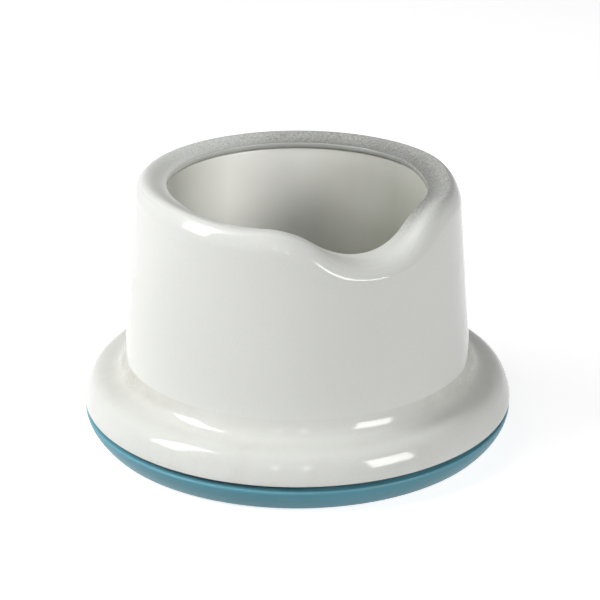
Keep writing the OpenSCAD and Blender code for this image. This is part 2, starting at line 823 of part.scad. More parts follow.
rubber_feet();
base_dish();
lower_race();
pivot_nut();
pivot_screw();
thrust_washer();
ball_cage();
bearing_balls();
upper_race();
deck_plate();
pivot_bush();
deck_screws();
outer_housing();
well_liner();
rack_post();
post_screw();
rack_turntable();
post_clip();
rack_tray();
tray_rim();
pocket_divider();
grip_knob();
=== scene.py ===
import json
import math

import bmesh
import bpy
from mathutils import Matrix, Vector


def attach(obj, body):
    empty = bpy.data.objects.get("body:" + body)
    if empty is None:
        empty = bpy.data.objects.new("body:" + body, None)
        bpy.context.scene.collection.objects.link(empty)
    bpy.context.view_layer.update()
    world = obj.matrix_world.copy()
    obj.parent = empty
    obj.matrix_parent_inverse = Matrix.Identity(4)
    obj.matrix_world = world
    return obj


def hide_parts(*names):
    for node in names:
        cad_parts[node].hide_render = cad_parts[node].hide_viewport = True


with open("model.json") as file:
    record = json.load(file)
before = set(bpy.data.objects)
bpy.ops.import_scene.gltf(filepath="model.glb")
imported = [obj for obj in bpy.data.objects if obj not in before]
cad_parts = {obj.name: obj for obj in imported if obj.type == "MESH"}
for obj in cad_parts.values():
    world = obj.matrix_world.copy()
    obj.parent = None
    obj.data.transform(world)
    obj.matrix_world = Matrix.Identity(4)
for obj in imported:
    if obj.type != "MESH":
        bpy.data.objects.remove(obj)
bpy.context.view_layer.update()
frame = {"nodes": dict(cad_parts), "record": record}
mm = 0.001
weldGap = 0.000001  # metres: points nearer than this become one
flatAngle = 0.5  # degrees: faces that turn less than this are merged
creaseAngle = 38  # degrees: edges that turn more than this are shaded crisp
print("frame loaded:", len(frame["nodes"]), "nodes")


def linkNode(tree, kind, **settings):
    node = tree.nodes.new(kind)
    for key, value in settings.items():
        setattr(node, key, value)
    return node


def feed(tree, source, target):
    if isinstance(source, (int, float, tuple)):
        target.default_value = source
    else:
        tree.links.new(source, target)


def calc(tree, operation, a, b=0.0):  # one Math node, returns its value socket
    node = linkNode(tree, "ShaderNodeMath", operation=operation)
    feed(tree, a, node.inputs[0])
    if len(node.inputs) > 1:
        feed(tree, b, node.inputs[1])
    return node.outputs[0]


def plus(tree, a, b):
    return calc(tree, "ADD", a, b)


def minus(tree, a, b):
    return calc(tree, "SUBTRACT", a, b)


def times(tree, a, b):
    return calc(tree, "MULTIPLY", a, b)


def over(tree, a, b):
    return calc(tree, "DIVIDE", a, b)


def partsOf(tree, vector):  # the three values of a vector
    node = linkNode(tree, "ShaderNodeSeparateXYZ")
    tree.links.new(vector, node.inputs[0])
    return node.outputs


def pointOf(tree, x, y, z):  # one vector from three values
    node = linkNode(tree, "ShaderNodeCombineXYZ")
    for value, socket in zip((x, y, z), node.inputs):
        feed(tree, value, socket)
    return node.outputs[0]


def turnedPoint(tree, radius, angle, z):  # the point at a radius and an angle round Z
    return pointOf(tree, times(tree, radius, calc(tree, "COSINE", angle)),
                   times(tree, radius, calc(tree, "SINE", angle)), z)


def radiusOf(tree, x, y):
    return calc(tree, "SQRT", plus(tree, times(tree, x, x), times(tree, y, y)))


def newTree(name, meshIn, whole, sizes, meshOut):
    # a node tree that takes a mesh, a whole number, sizes and a material, and gives a mesh
    tree = bpy.data.node_groups.new(name, "GeometryNodeTree")
    sockets = [(meshIn, "INPUT", "Geometry"), (whole, "INPUT", "Int")]
    sockets += [(label, "INPUT", "Float") for label in sizes]
    sockets += [("Material", "INPUT", "Material"), (meshOut, "OUTPUT", "Geometry")]
    for label, way, kind in sockets:
        tree.interface.new_socket(label, in_out=way, socket_type="NodeSocket" + kind)
    return tree, linkNode(tree, "NodeGroupInput").outputs


def endTree(tree, geometry, material):  # every tree ends with real geometry and its material
    real = linkNode(tree, "GeometryNodeRealizeInstances")
    tree.links.new(geometry, real.inputs[0])
    paint = linkNode(tree, "GeometryNodeSetMaterial")
    tree.links.new(real.outputs[0], paint.inputs["Geometry"])
    tree.links.new(material, paint.inputs["Material"])
    result = linkNode(tree, "NodeGroupOutput")
    tree.links.new(paint.outputs[0], result.inputs[0])


def arc(cx, cz, r, start, end, steps):  # points (radius, height) of an arc, in degrees
    return [(cx + r * math.cos(math.radians(start + (end - start) * i / steps)),
             cz + r * math.sin(math.radians(start + (end - start) * i / steps)))
            for i in range(steps + 1)]


def newMaterial(name, baseColor, roughness, metallic=0.0):
    material = bpy.data.materials.new(name)
    material.use_nodes = True
    material.diffuse_color = (*baseColor, 1.0)
    tree = material.node_tree
    shader = tree.nodes["Principled BSDF"]
    shader.inputs["Metallic"].default_value = metallic
    shader.inputs["Base Color"].default_value = (*baseColor, 1.0)
    shader.inputs["Roughness"].default_value = roughness
    coords = linkNode(tree, "ShaderNodeTexCoord").outputs["Object"]
    return material, tree, shader, coords


def noiseOn(tree, coords, scale, detail=3.0, rough=0.5, stretch=None):
    if stretch:
        mapping = linkNode(tree, "ShaderNodeMapping")
        mapping.inputs["Scale"].default_value = stretch
        tree.links.new(coords, mapping.inputs["Vector"])
        coords = mapping.outputs["Vector"]
    noise = linkNode(tree, "ShaderNodeTexNoise")
    noise.inputs["Scale"].default_value = scale
    noise.inputs["Detail"].default_value = detail
    noise.inputs["Roughness"].default_value = rough
    tree.links.new(coords, noise.inputs["Vector"])
    return noise.outputs["Fac"]


def rampTo(tree, fac, low, high, fromLow=0.3, fromHigh=0.7):  # the usual range of a noise
    node = linkNode(tree, "ShaderNodeMapRange")
    node.inputs["From Min"].default_value = fromLow
    node.inputs["From Max"].default_value = fromHigh
    node.inputs["To Min"].default_value = low
    node.inputs["To Max"].default_value = high
    tree.links.new(fac, node.inputs["Value"])
    return node.outputs["Result"]


def blendColors(tree, fac, colorA, colorB):
    node = linkNode(tree, "ShaderNodeMix", data_type="RGBA")
    feed(tree, fac, node.inputs[0])
    for color, socket in ((colorA, node.inputs[6]), (colorB, node.inputs[7])):
        if isinstance(color, tuple):
            socket.default_value = (*color, 1.0)
        else:
            tree.links.new(color, socket)
    return node.outputs[2]


def bumpOn(tree, shader, height, strength, distance, under=None):
    node = linkNode(tree, "ShaderNodeBump")
    node.inputs["Strength"].default_value = strength
    node.inputs["Distance"].default_value = distance
    tree.links.new(height, node.inputs["Height"])
    if under:
        tree.links.new(under, node.inputs["Normal"])
    tree.links.new(node.outputs["Normal"], shader.inputs["Normal"])
    return node.outputs["Normal"]


def shaded(color, factor):
    return tuple(c * factor for c in color)


depthWay = (0.469, 0.883)  # level direction from the front to the back
acrossWay = (0.883, -0.469)  # level direction from left to right


def along(tree, x, y, way):  # distance along a level direction
    return plus(tree, times(tree, x, way[0]), times(tree, y, way[1]))


def shareAt(tree, source, place):  # where it starts, where it ends and the share at both ends
    start, end, low, high = place
    return rampTo(tree, source, low, high, start, end)


# in a finish, a noise is its scale, detail, roughness and stretch, a bump its strength and
# depth in metres, and four numbers are what shareAt takes
whiteFinish = {
    "color": (0.775, 0.785, 0.745), "toneDrop": 0.97, "toneNoise": (28.0, 4.0),
    "dustAndShadeColor": (0.50, 0.485, 0.42),
    "bandShadeColor": (0.235, 0.24, 0.225),  # painted shade on the back and right of the rim's band, the slope below it and the mouth's face
    "mouthEdgeShadeColor": (0.13, 0.13, 0.12),  # painted shade, darker along the mouth's edge
    "roughness": (0.06, 0.10), "bandRoughness": 0.42, "dustRoughness": 0.35,
    "facingUp": (0.45, 0.85, 0.0, 1.0),  # of the normal's upward part
    "fleckDrop": 0.55, "fleck": (0.35, 0.65, 0.0, 0.06), "grainNoise": (2200.0, 2.0),
    "scuffShare": 0.18, "scuff": (0.50, 0.72, 0.0, 1.0), "scuffNoise": (75.0, 7.0, 0.7),
    "patch": (0.35, 0.65, 0.42, 0.85), "patchNoise": (110.0, 6.0, 0.7),
    "speckle": (0.3, 0.7, 0.35, 1.0), "speckleNoise": (1500.0, 3.0, 0.6),
    "hazeNoise": (60.0, 5.0, 0.6), "grainBump": (0.05, 0.00004),
    "waveNoise": (42.0, 1.0), "waveBump": (0.10, 0.00035),
}
whitePlaces = {  # from where to where in metres, and the share at both ends
    "crease": (0.0236, 0.0240, 1.0, 0.0),
    # dust and painted shade in the flange's hollow
    "hollow": (0.0165, 0.021, 0.0, 1.0), "hollowDepth": (-0.048, -0.022, 0.12, 1.0),
    "band": (0.062, 0.066, 0.0, 1.0),
    # where painted shade lies on the rim's band, on the slope below it and on the mouth's face
    "backDepth": (-0.004, 0.030, 0.0, 1.0), "backAcross": (-0.036, -0.006, 0.62, 1.0),
    "rightDepth": (-0.030, -0.012, 0.0, 1.0), "rightAcross": (0.026, 0.036, 0.0, 0.9),
    "slope": (0.054, 0.060, 0.0, 1.0), "slopeRadius": (0.0410, 0.0440, 1.0, 0.0),
    "slopeDepth": (-0.040, -0.018, 0.0, 1.0), "slopeAcross": (0.018, 0.034, 0.0, 0.95),
    "innerRadius": (0.0385, 0.0425, 0.55, 0.0),
    "mouth": (0.066, 0.068, 0.0, 1.0), "mouthRadius": (0.0386, 0.0389, 0.5, 0.0),
    "mouthDepth": (0.0, 0.026, 0.0, 1.0),
}


def makeWhitePlastic(values, places):
    material, tree, shader, coords = newMaterial("whiteGlossPlastic", values["color"], 0.18)
    x, y, z = partsOf(tree, coords)
    normal = linkNode(tree, "ShaderNodeNewGeometry").outputs["Normal"]
    upward = shareAt(tree, partsOf(tree, normal)[2], values["facingUp"])
    depth = along(tree, x, y, depthWay)
    across = along(tree, x, y, acrossWay)
    radius = radiusOf(tree, x, y)

    def noise(key):
        return noiseOn(tree, coords, *values[key + "Noise"])

    def share(source, place):
        return shareAt(tree, source, places[place])

    def covered(under, amount, key):  # lays one of the finish's colors over another
        return blendColors(tree, amount, under, values[key])

    grain = noise("grain")
    tone = rampTo(tree, noise("tone"), 0.0, 1.0)
    flecks = shareAt(tree, grain, values["fleck"])
    color = blendColors(tree, tone, values["color"], shaded(values["color"], values["toneDrop"]))
    color = blendColors(tree, flecks, color, shaded(values["color"], values["fleckDrop"]))
    # faint scuffs on the flange, and dust with painted shade in its hollow away from the front
    onFlange = share(z, "crease")
    scuff = times(tree, shareAt(tree, noise("scuff"), values["scuff"]), onFlange)
    hollow = times(tree, share(z, "hollow"), onFlange)
    patch = shareAt(tree, noise("patch"), values["patch"])
    dustAndShade = times(tree, times(tree, hollow, share(depth, "hollowDepth")), patch)
    dustAndShade = calc(tree, "MAXIMUM", dustAndShade, times(tree, scuff, values["scuffShare"]))
    color = covered(color, dustAndShade, "dustAndShadeColor")
    # the rim's band is matt, and painted shade darkens its back and its right side
    band = times(tree, upward, share(z, "band"))
    back = times(tree, share(depth, "backDepth"), share(across, "backAcross"))
    right = times(tree, share(across, "rightAcross"), share(depth, "rightDepth"))
    dustAndShadeShare = times(tree, band, calc(tree, "MAXIMUM", back, right))
    speckle = shareAt(tree, noise("speckle"), values["speckle"])
    color = covered(color, times(tree, dustAndShadeShare, speckle), "bandShadeColor")
    # painted shade on the slope below the band on the right, the mouth's upper edge and the face
    # inside it
    slope = times(tree, share(radius, "slopeRadius"), share(z, "slope"))
    slopeSide = times(tree, share(across, "slopeAcross"), share(depth, "slopeDepth"))
    color = covered(color, times(tree, times(tree, slope, slopeSide), speckle), "bandShadeColor")
    color = covered(color, times(tree, dustAndShadeShare, share(radius, "innerRadius")), "mouthEdgeShadeColor")
    mouth = times(tree, share(radius, "mouthRadius"), share(z, "mouth"))
    color = covered(color, times(tree, mouth, share(depth, "mouthDepth")), "bandShadeColor")
    tree.links.new(color, shader.inputs["Base Color"])
    rough = rampTo(tree, noise("haze"), *values["roughness"])
    rough = plus(tree, rough, times(tree, dustAndShade, values["dustRoughness"]))
    rough = calc(tree, "MAXIMUM", rough, times(tree, band, values["bandRoughness"]))
    tree.links.new(rough, shader.inputs["Roughness"])
    wave = bumpOn(tree, shader, noise("wave"), *values["waveBump"])
    bumpOn(tree, shader, grain, *values["grainBump"], wave)
    return material


tealFinish = {
    "color": (0.098, 0.296, 0.37), "rubbedAndHighlightColor": (0.16, 0.42, 0.52), "gloss": 0.36,
    "toneDrop": 0.9, "toneNoise": (35.0, 5.0), "roughness": (0.34, 0.46),
    "rubbed": (0.6, 0.72, 0.0, 0.22), "scuffNoise": (260.0, 6.0, 0.7, (1.0, 1.0, 5.0)),
    "edgeZ": (0.0070, 0.0077, 0.0, 0.6), "dishTopZ": 0.012,  # the dish's upper edge, where its highlight is painted, in metres
    "grainNoise": (1900.0, 3.0), "grainBump": (0.12, 0.00005),
}


def makeTealPlastic(values):
    material, tree, shader, coords = newMaterial("tealSatinPlastic", values["color"], 0.38)
    tone = rampTo(tree, noiseOn(tree, coords, *values["toneNoise"]), 0.0, 1.0)
    color = blendColors(tree, tone, values["color"], shaded(values["color"], values["toneDrop"]))
    scuff = noiseOn(tree, coords, *values["scuffNoise"])
    rubbed = shareAt(tree, scuff, values["rubbed"])
    color = blendColors(tree, rubbed, color, values["rubbedAndHighlightColor"])
    # a painted highlight: the dish's upper edge is painted a little brighter
    z = partsOf(tree, coords)[2]
    onDish = calc(tree, "LESS_THAN", z, values["dishTopZ"])
    edge = times(tree, shareAt(tree, z, values["edgeZ"]), onDish)
    color = blendColors(tree, edge, color, values["rubbedAndHighlightColor"])
    tree.links.new(color, shader.inputs["Base Color"])
    shader.inputs["Specular IOR Level"].default_value = values["gloss"]
    tree.links.new(rampTo(tree, scuff, *values["roughness"]), shader.inputs["Roughness"])
    grain = noiseOn(tree, coords, *values["grainNoise"])
    bumpOn(tree, shader, grain, *values["grainBump"])
    return material


satinFinish = {
    "toneDrop": 0.93, "toneNoise": (40.0, 4.0), "wearNoise": (120.0, 5.0, 0.6),
    "smoother": 0.05, "rougher": 0.08, "grainDetail": 3.0, "grainDepth": 0.00006,
}


def makeSatinPlastic(name, color, roughness, grainScale=1400.0, bump=0.12):
    values = satinFinish
    material, tree, shader, coords = newMaterial(name, color, roughness)
    tone = rampTo(tree, noiseOn(tree, coords, *values["toneNoise"]), 0.0, 1.0)
    mixed = blendColors(tree, tone, color, shaded(color, values["toneDrop"]))
    tree.links.new(mixed, shader.inputs["Base Color"])
    wear = noiseOn(tree, coords, *values["wearNoise"])
    rough = rampTo(tree, wear, roughness - values["smoother"], roughness + values["rougher"])
    tree.links.new(rough, shader.inputs["Roughness"])
    grain = noiseOn(tree, coords, grainScale, values["grainDetail"])
    bumpOn(tree, shader, grain, bump, values["grainDepth"])
    return material


linerFinish = {
    "color": (0.82, 0.82, 0.775), "wellShadeColor": (0.325, 0.33, 0.28), "roughness": 0.34,
    # shares of the painted shade to the right, to the left and at the foot
    "right": (0.002, 0.030, 0.0, 0.70), "left": (-0.037, -0.021, 0.60, 0.0),
    "foot": (0.050, 0.070, 1.0, 0.0), "footRight": (-0.004, 0.030, 0.05, 0.34),
    "tone": (0.3, 0.7, -0.04, 0.06), "toneNoise": (40.0, 4.0),
    "smoother": 0.05, "rougher": 0.1, "wearNoise": (120.0, 5.0, 0.6),
    "grainNoise": (1400.0, 3.0), "grainBump": (0.12, 0.00006),
}


def makeLinerPlastic(values):
    # the well's wall with painted shade towards both sides and towards its foot, and a painted
    # highlight band between the sides
    roughness = values["roughness"]
    material, tree, shader, coords = newMaterial("greySatinPlastic", values["color"], roughness)
    x, y, z = partsOf(tree, coords)
    across = along(tree, x, y, acrossWay)

    def share(source, place):
        return shareAt(tree, source, values[place])

    foot = times(tree, share(across, "footRight"), share(z, "foot"))
    wellShade = plus(tree, share(across, "right"), foot)
    wellShade = calc(tree, "MAXIMUM", wellShade, share(across, "left"))
    tone = share(noiseOn(tree, coords, *values["toneNoise"]), "tone")
    mixed = blendColors(tree, plus(tree, wellShade, tone), values["color"], values["wellShadeColor"])
    tree.links.new(mixed, shader.inputs["Base Color"])
    wear = noiseOn(tree, coords, *values["wearNoise"])
    rough = rampTo(tree, wear, roughness - values["smoother"], roughness + values["rougher"])
    tree.links.new(rough, shader.inputs["Roughness"])
    grain = noiseOn(tree, coords, *values["grainNoise"])
    bumpOn(tree, shader, grain, *values["grainBump"])
    return material


metalFinish = {
    "toneDrop": 0.82, "lineNoise": (700.0, 4.0, 0.6), "smoother": 0.06, "rougher": 0.1,
    "lineBump": (0.08, 0.00004),
}


def makeMetal(name, color, roughness, stretch=(1.0, 1.0, 12.0)):
    values = metalFinish
    material, tree, shader, coords = newMaterial(name, color, roughness, 1.0)
    lines = noiseOn(tree, coords, *values["lineNoise"], stretch)
    tone = rampTo(tree, lines, 0.0, 1.0)
    mixed = blendColors(tree, tone, color, shaded(color, values["toneDrop"]))
    tree.links.new(mixed, shader.inputs["Base Color"])
    rough = rampTo(tree, lines, roughness - values["smoother"], roughness + values["rougher"])
    tree.links.new(rough, shader.inputs["Roughness"])
    bumpOn(tree, shader, lines, *values["lineBump"])
    return material


rubberFinish = {
    "color": (0.022, 0.022, 0.024), "dustAndShadeColor": (0.09, 0.085, 0.08), "roughness": (0.6, 0.82),
    "dustAndShade": (0.5, 0.75, 0.0, 0.5), "dustNoise": (240.0, 6.0, 0.65),
    "grainNoise": (1200.0, 4.0), "grainBump": (0.3, 0.00008),
}


def makeRubber(values):
    material, tree, shader, coords = newMaterial("blackRubber", values["color"], 0.7)
    dustAndShade = noiseOn(tree, coords, *values["dustNoise"])
    dustAndShadeShare = shareAt(tree, dustAndShade, values["dustAndShade"])
    mixed = blendColors(tree, dustAndShadeShare, values["color"], values["dustAndShadeColor"])
    tree.links.new(mixed, shader.inputs["Base Color"])
    tree.links.new(rampTo(tree, dustAndShade, *values["roughness"]), shader.inputs["Roughness"])
    grain = noiseOn(tree, coords, *values["grainNoise"])
    bumpOn(tree, shader, grain, *values["grainBump"])
    return material


materials = {
    "white_plastic": makeWhitePlastic(whiteFinish, whitePlaces),
    "teal_plastic": makeTealPlastic(tealFinish),
    "grey_plastic": makeLinerPlastic(linerFinish),
    "rack_plastic": makeSatinPlastic("rackPlastic", (0.72, 0.72, 0.67), 0.36),
    "divider_plastic": makeSatinPlastic("dividerPlastic", (0.50, 0.54, 0.54), 0.42),
    "dark_plastic": makeSatinPlastic("darkPlastic", (0.045, 0.047, 0.05), 0.5, 900.0, 0.25),
    "nylon": makeSatinPlastic("naturalNylon", (0.70, 0.67, 0.57), 0.45),
    "foot_rubber": makeRubber(rubberFinish),
    "race_steel": makeMetal("raceSteel", (0.56, 0.57, 0.58), 0.34),
    "zinc_steel": makeMetal("zincSteel", (0.60, 0.61, 0.62), 0.28),
    "spring_steel": makeMetal("springSteel", (0.12, 0.12, 0.125), 0.4),
    "ball_steel": makeMetal("ballSteel", (0.68, 0.69, 0.70), 0.12, (1.0, 1.0, 1.0)),
}
slotOf = {entry["node"]: entry["material_slot"] for entry in frame["record"]["subparts"]}
bodyOf = {nodeName: body for body, nodeNames in frame["record"]["behaviour"]["bodies"].items()
          for nodeName in nodeNames}
for nodeName, nodeObject in frame["nodes"].items():
    nodeObject.data.materials.clear()
    nodeObject.data.materials.append(materials[slotOf[nodeName]])
print("materials made:", len(materials))


housing = {  # mm and degrees
    "width": 130.0, "height": 78.35, "lipZ": 9.55, "lipHeight": 1.2,
    "footWall": 3.2, "footRound": 0.15, "landZ": 12.5,
    "flareWidth": 12.6, "flareHeight": 13.05, "flareLean": 12.0, "flareRise": 13.8,
    "flareSweep": 11.5, "flareAngle": 11.0, "draft": 4.94, "wall": 2.4,
    "flareShare": 0.96,  # how much of the flare's curve its inner face follows
    "foldDrop": 5.2, "foldTurn": 2.0, "foldPull": 1.9, "foldGap": 0.15,
    "crestWidth": 3.7, "crestPull": 2.0, "bandWidth": 6.1, "bandDrop": 1.95, "bandPull": 2.1,
    "bandInset": 1.5, "mouthFace": 1.6, "mouthStep": (0.25, 0.1), "edgeRound": 0.3, "rimWall": 2.0,
    "foldScoop": (8.9, 43.0, 14.5),  # depth, floor radius, blend radius
    "crestScoop": (11.0, 27.0, 27.0),
    "edgeScoop": (8.4, 37.7, 31.3),
    "foldFall": (1.9, 98.0, 62.0),  # how far it falls, and from which angle to which
    "crestFall": (1.8, 90.0, 45.0),
    "edgeFall": (1.5, 98.0, 62.0),
    "scoopRadius": 47.3,
    "stations": 240, "flareSteps": 36, "wallSteps": 10, "capSteps": 20, "bandSteps": 14,
}


still = (0, 0, 0, 0)  # shares of a point that the scoop leaves alone


def bezier(p, t):
    weights = ((1 - t) ** 3, 3 * (1 - t) ** 2 * t, 3 * (1 - t) * t * t, t ** 3)
    return sum((w * q for w, q in zip(weights, p)), Vector((0, 0)))


def bezierTurn(p, t):  # direction of the curve
    return (1 - t) ** 2 * (p[1] - p[0]) + 2 * (1 - t) * t * (p[2] - p[1]) + t * t * (p[3] - p[2])


def housingSection(h):
    # points: radius, height, shares of the fold's, crest's and edge's dip, share of the lean
    sin, cos, rad = math.sin, math.cos, math.radians
    outerR = h["width"] / 2
    lipTop = h["lipZ"] + h["lipHeight"]
    flareZ = lipTop + h["flareHeight"]

    def wallR(z):
        return outerR - h["flareWidth"] - math.tan(rad(h["draft"])) * (z - flareZ)

    start = Vector((outerR, lipTop))
    end = Vector((wallR(flareZ), flareZ))
    lean, angle = rad(h["flareLean"]), rad(h["flareAngle"])
    curve = (start, start + h["flareRise"] * Vector((-sin(lean), cos(lean))),
             end + h["flareSweep"] * Vector((sin(angle), -cos(angle))), end)
    top = h["height"]
    foldZ = top - h["foldDrop"]
    fold = Vector((wallR(foldZ), foldZ))
    crest = Vector((fold.x - h["crestWidth"], top))
    edge = crest - Vector((h["bandWidth"], h["bandDrop"]))
    cap = (fold, fold + h["foldPull"] * Vector((-sin(rad(h["foldTurn"])), cos(rad(h["foldTurn"])))),
           crest + Vector((h["crestPull"], 0)), crest)
    band = (crest, crest - Vector((h["bandPull"], 0)), edge + Vector((h["bandPull"], 0)), edge)
    foot, edgeOnly = h["footRound"], (0, 0, 1, 0)
    points = [(*p, *still) for p in arc(outerR - foot, h["lipZ"] + foot, foot, -90, 0, 4)]
    points.append((outerR, h["lipZ"] + 2 * foot, *still))
    points += [(*bezier(curve, i / h["flareSteps"]), *still) for i in range(h["flareSteps"] + 1)]
    for i in range(1, h["wallSteps"] + 1):
        z = min(flareZ + (foldZ - flareZ) * i / h["wallSteps"], foldZ - h["foldGap"])
        share = (z - flareZ) / (foldZ - flareZ)
        points.append((wallR(z), z, share, 0, 0, share))

    def capPoint(t, inwards, downwards):  # point of the cap, or of its inner face
        p = bezier(cap, t)
        up = (p.y - foldZ) / (top - foldZ)
        return p.x - inwards * (1 - up), p.y - downwards * up, 1 - up, up, 0, 1 - up

    def bandPoint(t, outwards, downwards):  # point of the band round the mouth
        p = bezier(band, t)
        share = (crest.x - p.x) / h["bandWidth"]
        return p.x + outwards * share, p.y - downwards, 0, 1 - share, share, 0

    points += [capPoint(i / h["capSteps"], 0, 0) for i in range(h["capSteps"] + 1)]
    points += [bandPoint(i / h["bandSteps"], 0, 0) for i in range(1, h["bandSteps"])]
    points += [(*p, *edgeOnly) for p in
               arc(edge.x + h["edgeRound"], edge.y - h["edgeRound"], h["edgeRound"], 90, 180, 4)]
    mouthZ = edge.y - h["mouthFace"]
    points.append((edge.x, mouthZ, *edgeOnly))
    points.append((edge.x + h["mouthStep"][0], mouthZ - h["mouthStep"][1], *edgeOnly))
    points += [bandPoint(t, h["bandInset"], h["rimWall"]) for t in (0.8, 0.6, 0.4, 0.2)]
    points += [capPoint(t, h["wall"], h["rimWall"]) for t in (1, 0.8, 0.6, 0.4, 0.2, 0)]
    points.append((wallR(flareZ) - h["wall"], flareZ, *still))
    for i in (5, 4, 3, 2, 1):
        t = h["flareShare"] * i / 5
        d = bezierTurn(curve, t).normalized()
        points.append((*(bezier(curve, t) + h["wall"] * Vector((-d.y, d.x))), *still))
    points += [(outerR - h["footWall"], z, *still) for z in (h["landZ"], h["lipZ"])]
    return points


def sectionMesh(name, points):  # loose points, with their shares as attributes
    mesh = bpy.data.meshes.new(name)
    mesh.from_pydata([(p[0] * mm, 0, p[1] * mm) for p in points], [], [])
    for column, key in enumerate(("foldShare", "crestShare", "edgeShare", "leanShare"), 2):
        layer = mesh.attributes.new(key, "FLOAT", "POINT")
        for i, p in enumerate(points):
            layer.data[i].value = p[column]
    return mesh


scoopLines = ("Fold", "Crest", "Edge")
dipSizes = (" Depth", " Floor", " Blend", " Fall", " Fall From", " Fall To")


def buildSkinTree():
    # skins a closed section round Z; the scoop lowers the points by their shares of its dips
    sizes = ["Scoop Radius", "Lean"] + [line + label for line in scoopLines for label in dipSizes]
    tree, given = newTree("housingSkin", "Section", "Stations", sizes, "Skin")
    count = linkNode(tree, "GeometryNodeAttributeDomainSize", component="MESH")
    tree.links.new(given["Section"], count.inputs["Geometry"])
    pointCount = count.outputs["Point Count"]
    perColumn = plus(tree, pointCount, 1.0)
    grid = linkNode(tree, "GeometryNodeMeshGrid")
    tree.links.new(plus(tree, given["Stations"], 1.0), grid.inputs["Vertices X"])
    tree.links.new(perColumn, grid.inputs["Vertices Y"])
    # the small sums before a division or a remainder keep its rounding on the right number
    index = linkNode(tree, "GeometryNodeInputIndex").outputs[0]
    column = calc(tree, "FLOOR", over(tree, plus(tree, index, 0.5), perColumn))
    row = minus(tree, index, times(tree, column, perColumn))
    row = calc(tree, "ROUND", calc(tree, "MODULO", plus(tree, row, 0.1), pointCount))
    station = calc(tree, "MODULO", plus(tree, column, 0.1), given["Stations"])
    station = calc(tree, "ROUND", station)
    turn = over(tree, station, given["Stations"])  # 0 to 1 from the scoop's middle

    def sample(kind, source):
        node = linkNode(tree, "GeometryNodeSampleIndex", data_type=kind)
        tree.links.new(given["Section"], node.inputs["Geometry"])
        tree.links.new(source, node.inputs["Value"])
        tree.links.new(row, node.inputs["Index"])
        return node.outputs["Value"]

    def shareOf(name):
        node = linkNode(tree, "GeometryNodeInputNamedAttribute", data_type="FLOAT")
        node.inputs["Name"].default_value = name
        return sample("FLOAT", node.outputs["Attribute"])

    position = linkNode(tree, "GeometryNodeInputPosition").outputs[0]
    place = partsOf(tree, sample("FLOAT_VECTOR", position))
    off = minus(tree, 0.5, calc(tree, "ABSOLUTE", minus(tree, turn, 0.5)))
    off = times(tree, off, 2 * math.pi)
    s = times(tree, off, given["Scoop Radius"])  # distance along the rim

    def chordDrop(radius, length):  # radius minus the height of its arc at that length
        square = minus(tree, times(tree, radius, radius), times(tree, length, length))
        return minus(tree, radius, calc(tree, "SQRT", calc(tree, "MAXIMUM", square, 0.0)))

    def dipOf(line):  # an arc as the floor, blended into the rim, plus a gentle fall
        depth, floorR, blendR = (given[line + label] for label in (" Depth", " Floor", " Blend"))
        both = plus(tree, floorR, blendR)
        cosTurn = minus(tree, 1.0, over(tree, depth, both))
        sinTurn = calc(tree, "SQRT", minus(tree, 1.0, times(tree, cosTurn, cosTurn)))
        half = times(tree, both, sinTurn)
        floorDip = minus(tree, depth, chordDrop(floorR, s))
        blendDip = chordDrop(blendR, calc(tree, "MAXIMUM", minus(tree, half, s), 0.0))
        onFloor = calc(tree, "LESS_THAN", s, times(tree, floorR, sinTurn))
        dip = plus(tree, times(tree, onFloor, floorDip),
                   times(tree, minus(tree, 1.0, onFloor), blendDip))
        fall = linkNode(tree, "ShaderNodeMapRange", interpolation_type="SMOOTHSTEP")
        tree.links.new(off, fall.inputs["Value"])
        for label, end in ((" Fall From", "From Min"), (" Fall To", "From Max"),
                           (" Fall", "To Max")):
            tree.links.new(given[line + label], fall.inputs[end])
        return plus(tree, dip, fall.outputs["Result"])

    foldDip = dipOf("Fold")
    drop = plus(tree, times(tree, foldDip, shareOf("foldShare")),
                plus(tree, times(tree, dipOf("Crest"), shareOf("crestShare")),
                     times(tree, dipOf("Edge"), shareOf("edgeShare"))))
    leaning = times(tree, times(tree, foldDip, shareOf("leanShare")), given["Lean"])
    radius = plus(tree, place[0], leaning)
    angle = times(tree, minus(tree, turn, 0.25), 2 * math.pi)  # the scoop's middle is at -Y
    move = linkNode(tree, "GeometryNodeSetPosition")
    tree.links.new(grid.outputs["Mesh"], move.inputs["Geometry"])
    tree.links.new(turnedPoint(tree, radius, angle, minus(tree, place[2], drop)),
                   move.inputs["Position"])
    weld = linkNode(tree, "GeometryNodeMergeByDistance")
    weld.inputs["Distance"].default_value = 2 * weldGap
    tree.links.new(move.outputs[0], weld.inputs["Geometry"])
    smooth = linkNode(tree, "GeometryNodeSetShadeSmooth")
    tree.links.new(weld.outputs[0], smooth.inputs[0])
    endTree(tree, smooth.outputs[0], given["Material"])
    return tree


def pointOutwards(mesh):  # welds the mesh and turns its faces outwards
    work = bmesh.new()
    work.from_mesh(mesh)
    bmesh.ops.remove_doubles(work, verts=work.verts, dist=weldGap)
    bmesh.ops.delete(work, geom=[e for e in work.edges if not e.link_faces], context="EDGES")
    bmesh.ops.recalc_face_normals(work, faces=work.faces)
    work.to_mesh(mesh)
    work.free()


